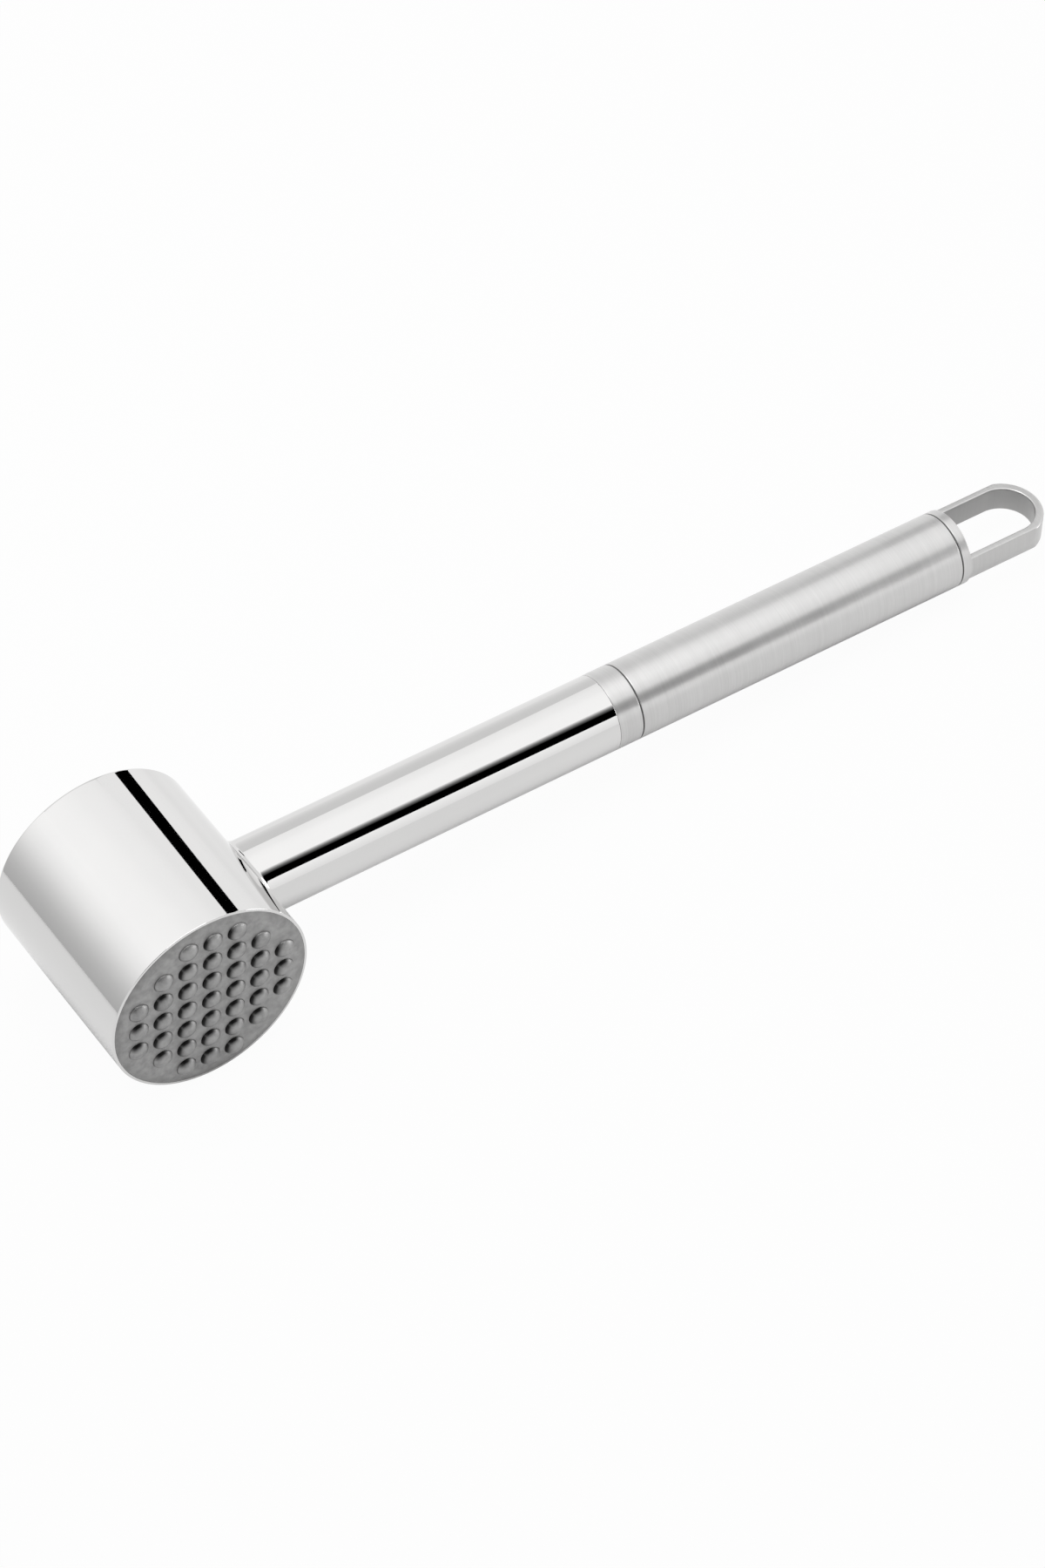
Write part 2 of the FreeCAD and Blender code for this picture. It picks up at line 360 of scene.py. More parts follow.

# %% [markdown]
# ## Satin steel
# The grip, the collar and the end cap are brushed round. Real brushed lines
# spread a reflection across themselves, here along the handle, and keep it
# fairly tight the other way. The shader's anisotropy does that with a tangent
# taken from each piece's own map, and the fine lines add the visible streaks.
# The hanging loop is milled, not brushed. Its mesh carries a number that takes
# the stretch away there and darkens the colour: most on the slot's wall, as
# painted shade that grows towards the wall's top, and a little on the band's
# sides.

# %% Material: satin steel
satin, tree, shader = blank_material("satin_steel")
spot = handle_spot(tree)
brush = place_effect(tree, lines, spot, {"Line Size": 3200.0, "Band Size": 420.0})
wear = place_effect(tree, marks, spot, {"Cloud Size": 55.0, "Hairline Size": 700.0})
streaked = maths(tree, "MULTIPLY_ADD", brush["Bands"], 0.5, brush["Lines"])
brushed = blend(tree, remap(tree, streaked, (0.5, 1.0)),
                (0.545, 0.541, 0.538, 1), (0.60, 0.596, 0.592, 1))
# The loop's number: its milled finish, plus painted shade on the slot's wall and a little
# darkening on the band's sides.
milled_and_shaded = attribute(tree, "loop_finish_and_shade")
loop_shade_share = remap(tree, milled_and_shaded, (0.25, 1.0), (0.0, 0.85))
tangent = add(tree, "ShaderNodeTangent", direction_type="UV_MAP", uv_map="turned")
feed(shader, {
    "Metallic": 0.75,
    "Base Color": blend(tree, loop_shade_share, brushed, (0.3, 0.298, 0.296, 1)),
    "Roughness": remap(tree, wear["Clouds"], (0.3, 0.8), (0.285, 0.34)),
    "Anisotropic": remap(tree, milled_and_shaded, (0.0, 0.4), (0.5, 0.0)),
    "Tangent": tangent,
    "Normal": bump(tree, streaked, 0.14, 0.00001)})
print("satin steel ready")

# %% [markdown]
# ## Blasted cast steel
# Blasting scatters the reflection, so the face reads as plain mid grey. It is
# still metal: light that bounces between two studs loses most of itself at each
# bounce. That alone leaves the crescents between the studs too faint here, so
# the rest is painted shade: the studs carry a number that darkens the colour,
# and the plate's border gets a little painted shade towards the lip.

# %% Material: blasted cast steel
cast, tree, shader = blank_material("blasted_cast_steel")
spot = object_spot(tree)
grain = place_effect(tree, blast, spot, {"Dimple Size": 2600.0, "Mould Size": 420.0})
bare = blend(tree, remap(tree, grain["Shade"], (0.35, 0.65)),
             (0.28, 0.278, 0.277, 1), (0.39, 0.388, 0.386, 1))
# Painted shade: the plate's border gets a little darker where it curves down to the lip.
off_axis = vector_maths(tree, "LENGTH", shift(
    tree, spot, location=(-crossing.x, 0, -crossing.z), scale=(1, 0, 1)))
lip_shade = remap(tree, off_axis, (0.0232, 0.0256), (0.0, 0.3))
plain = blend(tree, lip_shade, bare, (0.12, 0.118, 0.116, 1))
# Painted shade from the stud field: dark crescents beside the studs and round their feet.
stud_shade_share = maths(tree, "MULTIPLY", attribute(tree, "painted_stud_shade"), 0.96)
feed(shader, {
    "Metallic": 0.8,
    "Specular IOR Level": 0.3,
    "Base Color": blend(tree, stud_shade_share, plain, (0, 0, 0, 1)),
    "Roughness": remap(tree, grain["Shade"], (0.3, 0.7), (0.42, 0.5)),
    "Normal": bump(tree, grain["Height"], 0.5, 0.00004)})
print("blasted cast steel ready")

# %% [markdown]
# ## The hidden pieces and the seals
# The core, the tie rod, the nut and the washer are inside, and keep their CAD
# shapes. They are plain turned steel: duller than the outside, with the lathe's
# fine lines. The two thin seal rings are dark grey and matt.

# %% Materials: turned steel and seal


def turned_steel(name, dark, light, line_size):
    """Plain turned bar: dull metal with fine tool lines along one axis."""
    material, tree, shader = blank_material(name)
    tool = place_effect(tree, lines, handle_spot(tree),
                        {"Line Size": line_size, "Band Size": line_size / 8})
    feed(shader, {
        "Metallic": 1.0,
        "Base Color": blend(tree, tool["Bands"], dark, light),
        "Roughness": remap(tree, tool["Bands"], (0.0, 1.0), (0.3, 0.5)),
        "Normal": bump(tree, tool["Lines"], 0.4, 0.00002)})
    return material


core_steel = turned_steel("core_steel", (0.34, 0.335, 0.33, 1), (0.46, 0.455, 0.45, 1), 1400.0)
rod_steel = turned_steel("rod_steel", (0.44, 0.435, 0.43, 1), (0.56, 0.555, 0.55, 1), 2200.0)
seal, tree, shader = blank_material("black_seal")
skin_grain = place_effect(tree, blast, object_spot(tree),
                          {"Dimple Size": 4000.0, "Mould Size": 500.0})
shade = skin_grain["Shade"]
feed(shader, {
    "Base Color": blend(tree, shade, (0.08, 0.08, 0.08, 1), (0.12, 0.12, 0.121, 1)),
    "Roughness": remap(tree, shade, (0.0, 1.0), (0.5, 0.75))})
finishes = {"head_core": core_steel, "tie_rod": rod_steel, "saddle_washer": rod_steel,
            "jam_nut": rod_steel, "front_seal": seal, "rear_seal": seal}
for node, material in finishes.items():
    frame["nodes"][node].data.materials.clear()
    frame["nodes"][node].data.materials.append(material)
print(len(finishes), "CAD nodes keep their shapes with new finishes")

# %% [markdown]
# ## A lathe made of Geometry Nodes
# Most of the mallet is turned, so one small node tree does the work of a lathe.
# It takes a half outline, a string of points with the radius in X and the place
# along the axis in Y, and lays a grid over it: each row of the grid follows one
# point of the outline while its columns swing round the axis. A bmesh spin
# could do it too, but the tree keeps the outline and the number of steps as
# inputs, and it also writes the map that tells the satin finish which way its
# lines run. `hand_out` ends a tree with the two nodes that every tree needs.

# %% Geometry Nodes: the lathe


def geometry_tree(name, inputs):
    """An empty modifier tree with a geometry in and out and named inputs."""
    tree, tree_in, tree_out = new_tree(
        name, "GeometryNodeTree", [("Geometry", "Geometry", None), *inputs],
        [("Geometry", "Geometry")])
    tree.is_modifier = True
    return tree, tree_in, tree_out


def hand_out(tree, tree_in, tree_out, geometry):
    """End a geometry tree with real geometry that wears its material."""
    whole = add(tree, "GeometryNodeRealizeInstances", {"Geometry": geometry})
    dressed = add(tree, "GeometryNodeSetMaterial", {
        "Geometry": whole, "Material": tree_in["Material"]})
    feed(tree_out, {"Geometry": dressed})


lathe, lathe_in, lathe_out = geometry_tree(
    "lathe", [("Steps", "Int", 192), ("Closed", "Int", 1), ("Material", "Material", None)])
steps_round = lathe_in["Steps"]
spot = add(lathe, "GeometryNodeInputPosition").outputs[0]
count = add(lathe, "GeometryNodeAttributeDomainSize", {
    "Geometry": lathe_in["Geometry"]}).outputs["Point Count"]
rows = maths(lathe, "ADD", count, lathe_in["Closed"])
columns = maths(lathe, "ADD", steps_round, 1)
row_reach = maths(lathe, "SUBTRACT", rows, 1)
column_reach = maths(lathe, "SUBTRACT", columns, 1)
grid = add(lathe, "GeometryNodeMeshGrid", {
    "Size X": row_reach, "Size Y": column_reach, "Vertices X": rows, "Vertices Y": columns})
at = add(lathe, "ShaderNodeSeparateXYZ", {"Vector": spot})
row, column = (
    maths(lathe, "ROUND", maths(lathe, "ADD", at.outputs[axis], maths(lathe, "DIVIDE", length, 2)))
    for axis, length in (("X", row_reach), ("Y", column_reach)))
outline_point = add(lathe, "GeometryNodeSampleIndex", {
    "Geometry": lathe_in["Geometry"], "Value": spot,
    "Index": maths(lathe, "FLOORED_MODULO", row, count)},
    data_type="FLOAT_VECTOR", domain="POINT")
half = add(lathe, "ShaderNodeSeparateXYZ", {"Vector": outline_point})
radius = half.outputs["X"]
swing = maths(lathe, "MULTIPLY", maths(lathe, "DIVIDE", column, steps_round), 2 * pi)
ring_point = add(lathe, "ShaderNodeCombineXYZ", {
    "X": maths(lathe, "MULTIPLY", radius, maths(lathe, "COSINE", swing)),
    "Y": maths(lathe, "MULTIPLY", radius, maths(lathe, "SINE", swing)),
    "Z": half.outputs["Y"]})
mapped = add(lathe, "GeometryNodeStoreNamedAttribute", {
    "Name": "turned", "Geometry": grid, "Value": grid.outputs["UV Map"]},
    data_type="FLOAT2", domain="CORNER")
shaped = add(lathe, "GeometryNodeSetPosition", {
    "Geometry": mapped, "Position": ring_point})
hand_out(lathe, lathe_in, lathe_out, shaped)
print("lathe:", len(lathe.nodes), "nodes")

# %% [markdown]
# ## Running a tree and finishing its mesh
# A Geometry Nodes modifier only shows its result. `run_tree` sets the inputs by
# their identifiers, evaluates the object and keeps the result as a plain mesh.
# `finish_mesh` then closes seams and poles, turns every face outwards, marks
# the sharp edges, and puts the points on the table with `place`, so that the
# object itself stays at the origin. `piece` makes the mesh an object that
# stands in for a CAD node, and prints how far their boxes differ.

# %% Tree runner and mesh finisher
WELD, SLIVER = 0.0004, 0.0001  # mm
along_handle = Matrix.Rotation(radians(90), 4, "Y")
along_head = Matrix.Rotation(radians(-90), 4, "X")


def evaluated(thing):
    """The object's mesh after its modifiers, as a new plain mesh."""
    graph = bpy.context.evaluated_depsgraph_get()
    return bpy.data.meshes.new_from_object(
        thing.evaluated_get(graph), preserve_all_data_layers=True, depsgraph=graph)


def run_tree(tree, source, values):
    """The tree's result on a mesh or on a string of points, as a new mesh."""
    if not isinstance(source, bpy.types.Mesh):
        points = source
        source = bpy.data.meshes.new("outline")
        source.from_pydata([(p[0], p[1], 0.0) for p in points], [], [])
    holder = show("holder", source)
    modifier = holder.modifiers.new("tree", "NODES")
    modifier.node_group = tree
    names = {item.name: item.identifier
             for item in tree.interface.items_tree if item.in_out == "INPUT"}
    for label, value in values.items():
        modifier[names[label]] = value
    result = evaluated(holder)
    bpy.data.objects.remove(holder)
    return result


def finish_mesh(mesh, turn=None, sharp=32):
    """Close the mesh, face it outwards, mark its sharp edges and place it."""
    work = bmesh.new()
    work.from_mesh(mesh)
    bmesh.ops.remove_doubles(work, verts=work.verts, dist=WELD)
    bmesh.ops.dissolve_degenerate(work, dist=SLIVER, edges=work.edges)
    bmesh.ops.transform(work, matrix=place @ turn if turn else place, verts=work.verts)
    bmesh.ops.recalc_face_normals(work, faces=work.faces)
    for face in work.faces:
        face.smooth = True
    for edge in work.edges:
        edge.smooth = len(edge.link_faces) < 2 or edge.calc_face_angle(0) < radians(sharp)
    open_edges = sum(1 for edge in work.edges if len(edge.link_faces) != 2)
    work.to_mesh(mesh)
    work.free()
    return open_edges


def join_into(target, *parts):
    """Put all the parts into the target mesh."""
    joined = bmesh.new()
    for part in parts:
        joined.from_mesh(part)
    joined.to_mesh(target)
    joined.free()


def piece(name, mesh, node, material):
    """Make the finished mesh a piece that stands for a CAD node."""
    mesh.materials.clear()
    mesh.materials.append(material)
    made = show(name, mesh)
    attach(made, "root")
    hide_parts(node)
    low, high = (Vector(c) for c in (made.bound_box[0], made.bound_box[6]))
    node_low, node_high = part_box(node)
    off = max(abs(v) for v in [*(low - node_low), *(high - node_high)]) / MM
    print(f"{name}: {len(mesh.polygons)} faces, within {off:.3f} mm of its node")


print("runner ready")

# %% [markdown]
# ## Outlines with soft corners
# No machined corner is knife sharp, and the thin light line along an edge comes
# from its small rounding. `outline` takes corners as (radius, place along the
# axis, rounding) and returns points. Beside each rounding it adds a support
# point, so that the smooth shading of a long wall isn't bent by its corner.

# %% Helper: rounded outline


def outline(corners, closed=True, arc_steps=4, support=0.2):
    """Points of an outline with rounded corners, guarded by support points."""
    points = []
    total = len(corners)
    for k, (x, y, rounding) in enumerate(corners):
        here = Vector((x, y))
        if rounding == 0 or (not closed and k in (0, total - 1)):
            points.append(here)
            continue
        before = Vector(corners[k - 1][:2]) - here
        after = Vector(corners[(k + 1) % total][:2]) - here
        half_angle = before.angle(after) / 2
        back_way, on_way = before.normalized(), after.normalized()
        reach = rounding / tan(half_angle)
        middle = here + (back_way + on_way).normalized() * (rounding / sin(half_angle))
        start, end = here + back_way * reach, here + on_way * reach
        first = atan2(start.y - middle.y, start.x - middle.x)
        last = atan2(end.y - middle.y, end.x - middle.x)
        sweep = (last - first + pi) % (2 * pi) - pi
        if before.length > 3 * (reach + support):
            points.append(start + back_way * support)
        for step in range(arc_steps + 1):
            angle = first + sweep * step / arc_steps
            points.append(middle + Vector((cos(angle), sin(angle))) * rounding)
        if after.length > 3 * (reach + support):
            points.append(end + on_way * support)
    return points


def turned_mesh(points, material, steps=192, closed=1):
    """Turn an outline on the lathe."""
    return run_tree(lathe, points, {"Steps": steps, "Closed": closed, "Material": material})


print("outline helper ready")

# %% [markdown]
# ## The head cup
# The head's polished wall and its smooth striking face are one deep cup, open
# towards the studs. The wall is 3.5 mm thick and the floor 5 mm. The mouth is
# stepped down to a lip only 0.65 mm thick, rolled over on the outside, so that
# the studded face fills the end almost completely and just a hair of polish is
# left round it. The tie rod passes through a hole in the side, hidden under the
# neck, and a boolean drills it after the turning. The wall has rings every few
# millimetres near the hole, so the cut can't disturb the mirror elsewhere.

# %% Piece: head cup
cup_wall, cup_floor, lip_t, lip_round, face_round, fit = 3.5, 5.0, 0.65, 0.12, 0.5, 0.03
lip_depth, seat_gap = 1.5, 0.05
rod_hole_r, overshoot = 4.25, 3
flange_y = mouth_y + lip_depth
wall_r, lip_r = head_r - cup_wall, head_r - lip_t


def drill(mesh, radius, x0, x1):
    """Cut a round hole along the handle's axis through a placed mesh."""
    rod = [Vector(corner) for corner in ((0, x0), (radius, x0), (radius, x1), (0, x1))]
    tool = turned_mesh(rod, None, steps=48, closed=0)
    finish_mesh(tool, along_handle)
    drilled, bit = show("drilled", mesh), show("drill", tool)
    cut = drilled.modifiers.new("cut", "BOOLEAN")
    cut.operation, cut.object, cut.solver = "DIFFERENCE", bit, "EXACT"
    result = evaluated(drilled)
    for thing in (drilled, bit):
        bpy.data.objects.remove(thing)
    return result


rings = [(head_r, float(y), 0) for y in (-13, -10, -7, 7, 10, 13)]
cup_outline = outline([
    (0, back_y - cup_floor, 0), (wall_r, back_y - cup_floor, 0),
    (wall_r, flange_y + seat_gap, 0), (lip_r, flange_y + seat_gap, 0),
    (lip_r, mouth_y, 0), (head_r, mouth_y, lip_round), *rings,
    (head_r, back_y, face_round), (0, back_y, 0)], closed=False, arc_steps=6)
cup_mesh = turned_mesh(cup_outline, polished, steps=256, closed=0)
print("open edges:", finish_mesh(cup_mesh, along_head))
cup_mesh = drill(cup_mesh, rod_hole_r, wall_r - overshoot, head_r + overshoot)
piece("head_cup_skin", cup_mesh, "head_cup", polished)

# %% [markdown]
# ## The studded face
# The striking face is a cast plug pressed into the cup's mouth: a flat disc whose
# border falls away in a low curve to the lip, and 37 studs in a square grid.
# Each stud is a drafted wall under a low dome, with the small fillets that
# casting always leaves. One stud is turned on the lathe; a second tree then
# lays it out wherever a grid point falls inside a circle, so the count is an
# outcome of the pitch and not a list to type.
#
# The tree also writes a number of painted shade for the cast finish: dark
# crescents beside the studs. Every stud looks at its four neighbours inside the
# circle. A dark patch lies round each neighbour's centre, moved by `lean`. It
# starts at the first distance, is full at the second, is scaled by `weight`, and
# fades out towards the stud's top. The foot is always painted partly dark. These
# numbers are fitted to this one light and camera, two sides strong and two weak.
# The painted shade stays put when the light moves, so for another light the
# weights are better set to 0; the dark foot stays even then.

# %% Geometry Nodes: the stud field
# Each neighbour lays a patch of painted shade on the stud's colour.
NEIGHBOURS = (  # step in pitches, lean in mm, distances of no dark and full dark, weight
    ((-1, 0, 0), (1.03, 0.85, 0), (4.75, 3.6), 1.0),
    ((0, 1, 0), (-0.9, -3.01, 0), (3.05, 1.5), 1.0),
    ((1, 0, 0), (0, 0, 0), (5.95, 4.4), 0.1),
    ((0, -1, 0), (0, 0, 0), (5.95, 4.4), 0.1))
field, field_in, field_out = geometry_tree(
    "stud_field", [("Pitch", "Float", 6.53), ("Field Radius", "Float", 21.5),
                   ("Turn", "Float", 0.0), ("Material", "Material", None)])
pitch, field_r = field_in["Pitch"], field_in["Field Radius"]
spot = add(field, "GeometryNodeInputPosition").outputs[0]
reach = maths(field, "FLOOR", maths(field, "DIVIDE", field_r, pitch))
gaps = maths(field, "MULTIPLY", reach, 2)
across, size = maths(field, "ADD", gaps, 1), maths(field, "MULTIPLY", gaps, pitch)
net = add(field, "GeometryNodeMeshGrid", {
    "Size X": size, "Size Y": size, "Vertices X": across, "Vertices Y": across})
outside = add(field, "FunctionNodeCompare", {
    "A": vector_maths(field, "LENGTH", spot), "B": field_r},
    data_type="FLOAT", operation="GREATER_THAN")
kept = add(field, "GeometryNodeDeleteGeometry", {
    "Geometry": net, "Selection": outside}, domain="POINT")
noted = add(field, "GeometryNodeStoreNamedAttribute", {
    "Name": "stud_centre", "Geometry": kept, "Value": spot},
    data_type="FLOAT_VECTOR", domain="POINT")
spread = add(field, "GeometryNodeInstanceOnPoints", {
    "Points": noted, "Instance": field_in["Geometry"]})
real = add(field, "GeometryNodeRealizeInstances", {"Geometry": spread})
centre = add(field, "GeometryNodeInputNamedAttribute", {"Name": "stud_centre"},
             data_type="FLOAT_VECTOR").outputs["Attribute"]
flat_spot = vector_maths(field, "MULTIPLY", spot, (1, 1, 0))
closest = 0.0
for step, lean, dark_from_to, weight in NEIGHBOURS:
    way = vector_maths(field, "MULTIPLY", step, pitch)
    neighbour = vector_maths(field, "ADD", centre, way)
    there = maths(field, "LESS_THAN", vector_maths(field, "LENGTH", neighbour), field_r)
    patch = vector_maths(field, "ADD", neighbour, lean)
    near = remap(field, vector_maths(field, "DISTANCE", flat_spot, patch), dark_from_to)
    shaded = maths(field, "MULTIPLY", maths(field, "MULTIPLY", near, there), weight)
    closest = maths(field, "MAXIMUM", shaded, closest)
# Painted shade: the patches fade towards the stud's top, and the foot is always partly dark.
level = add(field, "ShaderNodeSeparateXYZ", {"Vector": spot}).outputs["Z"]
low = remap(field, level, (1.3, 0.6))
foot = remap(field, level, (0.4, 0.05), (0.0, 0.6))
painted_shade_value = maths(field, "MAXIMUM", maths(field, "MULTIPLY", closest, low), foot)
marked = add(field, "GeometryNodeStoreNamedAttribute", {
    "Name": "painted_stud_shade", "Geometry": real, "Value": painted_shade_value},
    data_type="FLOAT", domain="POINT")
swung = add(field, "GeometryNodeTransform", {
    "Geometry": marked, "Rotation": add(field, "ShaderNodeCombineXYZ", {"Z": field_in["Turn"]})})
hand_out(field, field_in, field_out, swung)
print("stud field:", len(field.nodes), "nodes")

# %% [markdown]
# ### One stud, then the whole face
# The stud's dome is an arc that meets the wall at a soft shoulder. Its foot sinks
# a hair into the face, so that no light leaks under it.

# %% Piece: studded face
stud_h, stud_wall_h, stud_base_r, stud_top_r = 1.45, 0.3, 2.6, 2.5
foot_fillet, shoulder_round = 0.1, 0.35
root_depth, root_r, skirt_depth, skirt_r = 0.4, 2.75, 0.03, 2.8
stud_pitch, stud_field_r, grid_turn = 6.53, 21.5, radians(-2.6)
border_w, rim_round, plug_depth = 2.3, 0.1, 6.0
face_y = stud_top_y + stud_h
dome_h = stud_h - stud_wall_h
dome_r = (stud_top_r ** 2 + dome_h ** 2) / (2 * dome_h)
dome_centre = stud_h - dome_r
dome = [(dome_r * sin(a), dome_centre + dome_r * cos(a), 0)
        for a in map(radians, (43, 37, 31, 25, 19, 13, 8, 4))]
stud_outline = outline([
    (0, -root_depth, 0), (root_r, -root_depth, 0), (skirt_r, -skirt_depth, 0),
    (stud_base_r, 0.0, foot_fillet), (stud_top_r, stud_wall_h, shoulder_round),
    *dome, (0, stud_h, 0)], closed=False, support=9)
stud = turned_mesh(stud_outline, cast, steps=40, closed=0)
studs = run_tree(field, stud, {"Pitch": stud_pitch, "Field Radius": stud_field_r,
                               "Turn": grid_turn, "Material": cast})
stud_count = len(studs.vertices) // len(stud.vertices)
press_r, flange_r = head_r - cup_wall - fit, head_r - lip_t - fit
border_rise = mouth_y - face_y
ground = [(0.5 * k, face_y, 0) for k in range(47)]
border = [(flange_r - border_w * t, face_y + border_rise * (1 - t) ** 2, 0)
          for t in (1.0, 0.85, 0.7, 0.55, 0.4, 0.25, 0.12)]
plate = turned_mesh(outline([
    *ground, *border, (flange_r, mouth_y, rim_round), (flange_r, flange_y, 0),
    (press_r, flange_y, 0), (press_r, flange_y + plug_depth, 0),
    (0, flange_y + plug_depth, 0)], closed=False), cast, steps=256, closed=0)
outwards = Matrix.Translation((0, face_y, 0)) @ Matrix.Rotation(radians(90), 4, "X")
open_edges = finish_mesh(studs, outwards, sharp=40), finish_mesh(plate, along_head, sharp=40)
join_into(plate, studs, plate)
piece("studded_face_casting", plate, "studded_face", cast)
print("open edges:", open_edges, "studs:", stud_count)

# %% [markdown]
# ## Skins laid over rings
# The neck's foot follows a saddle, and the hanging loop is a bent band, so both
# are rings of points joined by quads, with the map that the satin finish reads.

# %% Helper: a skin over rings


def skin(rows, caps=False):
    """A mesh over rows of points; it closes on itself, or gets flat end caps."""
    work = bmesh.new()
    map_layer = work.loops.layers.uv.new("turned")
    rings = [[work.verts.new(p) for p in points] for points in rows]
    bands = len(rings) - 1 if caps else len(rings)
    around = len(rows[0])
    for i in range(bands):
        a, b = rings[i], rings[(i + 1) % len(rings)]
        for j in range(around):
            k = (j + 1) % around
            quad = work.faces.new((a[j], a[k], b[k], b[j]))
            for loop, (u, v) in zip(quad.loops, ((i, j), (i, j + 1), (i + 1, j + 1), (i + 1, j))):
                loop[map_layer].uv = (u / bands, v / around)
    if caps:
        work.faces.new(rings[0])
        work.faces.new(reversed(rings[-1]))
    mesh = bpy.data.meshes.new("skin")
    work.to_mesh(mesh)
    work.free()
    return mesh


print("skin helper ready")

# %% [markdown]
# ## The neck and its foot
# The neck is a tube whose foot flares out to sit on the round head. The flare is
# what a ball of 2 mm radius would leave, rolled along the corner between two
# crossed cylinders. That has an exact answer: for each direction round the
# handle the ball's centre lies 2 mm outside both cylinders, and the surface is
# the arc between its two touching points. So code computes it column by column.

# %% Piece: neck
foot_r, saddle_gap, neck_round, neck_steps = 2.0, 0.03, 0.1, 256


def foot_column(angle, arc_steps=16):
    """Points from the neck's end down its outside and the flare, back to the bore."""
    y, z = cos(angle), sin(angle)
    far = handle_r + foot_r
    ball = Vector((sqrt((head_r + foot_r) ** 2 - (far * z) ** 2), far * y, far * z))
    to_neck = Vector((0, -y, -z))
    to_head = Vector((-ball.x, 0, -ball.z)).normalized()
    opening = to_neck.angle(to_head)
    kept_share = 1 - acos((foot_r - saddle_gap) / foot_r) / opening
    flare = []
    for step in range(arc_steps + 1):
        t = kept_share * step / arc_steps
        way = to_neck * sin(opening * (1 - t)) + to_head * sin(opening * t)
        flare.append(ball + foot_r * way / sin(opening))
    start = flare[0].x
    end_edge = outline([(bore_r, neck_end, 0), (handle_r, neck_end, neck_round),
                        (handle_r, start, 0)], closed=False)
    column = [Vector((p.y, p.x * y, p.x * z)) for p in end_edge[:-1]]
    for t in (0.15, 0.3, 0.45, 0.6, 0.75, 0.9, 0.97):
        column.append(Vector((neck_end - (neck_end - start) * t, handle_r * y, handle_r * z)))
    column += flare
    toe = flare[-1]
    for t in (0.5, 1.0):
        sy, sz = toe.y + (bore_r * y - toe.y) * t, toe.z + (bore_r * z - toe.z) * t
        column.append(Vector((sqrt((head_r + saddle_gap) ** 2 - sz ** 2), sy, sz)))
    return column


foot_columns = [foot_column(2 * pi * k / neck_steps) for k in range(neck_steps)]
neck_mesh = skin([list(ring) for ring in zip(*foot_columns)])
print("open edges:", finish_mesh(neck_mesh))
piece("neck_skin", neck_mesh, "neck_tube", polished)

# %% [markdown]
# ## The collar and the grip
# A short satin collar plugs into both tubes and carries them on its spigots, and
# the grip tube closes on its other end. Both are plain turned outlines with
# broken edges, and the dark seal rings lie between them.

# %% Pieces: collar and grip
spigot_fit, joint_gap = 0.08, 0.05
spigot_round, edge_round, collar_round = 0.3, 0.12, 0.06
spigot_r = bore_r - spigot_fit
groove_edge = grip_start - (front_seal_end - front_seal_start)
body_start = neck_end + joint_gap
collar_mesh = turned_mesh(outline([
    (rod_hole_r, collar_start, 0), (spigot_r, collar_start, spigot_round),
    (spigot_r, body_start, 0), (handle_r, body_start, collar_round),
    (handle_r, groove_edge, edge_round), (spigot_r, groove_edge, 0),
    (spigot_r, collar_end, spigot_round), (rod_hole_r, collar_end, 0)]), satin)
grip_mesh = turned_mesh(outline([
    (bore_r, grip_start, 0), (handle_r, grip_start, edge_round),
    (handle_r, grip_end, edge_round), (bore_r, grip_end, 0)]), satin)
print("open edges:", finish_mesh(collar_mesh, along_handle), finish_mesh(grip_mesh, along_handle))
piece("collar_skin", collar_mesh, "front_cap", satin)
piece("grip_skin", grip_mesh, "grip_tube", satin)

# %% [markdown]
# ## The end cap and its hanging loop
# The end cap is one piece of bar: a spigot inside the grip, a disc, and beyond
# the disc two flats milled so that only a band 7 mm high is left, rounded at the
# tip and with a slot through it. The band is swept: at each step along the slot
# its section runs from the slot's wall out to the bar's own round surface or
# the rounded tip, whichever comes first. Sweeping keeps every corner of the
# section softened by the same small radius.
#
# At the end a number is written on the loop: 1 at the top of the slot's wall,
# less further down, 0.5 on the band's sides, 0.25 on its flats, and 0 elsewhere.
# On the slot's wall it is painted shade as well as a finish.

# %% Piece: end cap
disc_t, disc_round, root_round, thread_r = 2.4, 0.12, 0.04, 4.02
loop_half, leg_t, tip_t, loop_round, loop_support = 3.5, 2.35, 2.1, 0.35, 0.2
low_z, high_z, flat_z, wall_depth = 1.2, 2.9, 3.4, 0.2
# Loop marks: on the slot's wall they are a finish and also painted shade, darker towards the
# wall's top; side and flat values set the finish, and the sides also come out a little darker.
wall_finish_and_shade, wall_shade_fade, side_finish, flat_finish = 1.0, 0.05, 0.5, 0.25
disc_face = rear_seal_end
loop_root = disc_face + disc_t
slot_r = handle_r - leg_t
slot_centre, tip_centre = cap_tip - tip_t - slot_r, cap_tip - handle_r


def reach_at(angle, z):
    """How far the bar reaches from the tip's centre in one direction at one height."""
    crown = sqrt(handle_r ** 2 - z ** 2)
    return min(handle_r, crown / max(1e-6, abs(sin(angle))))


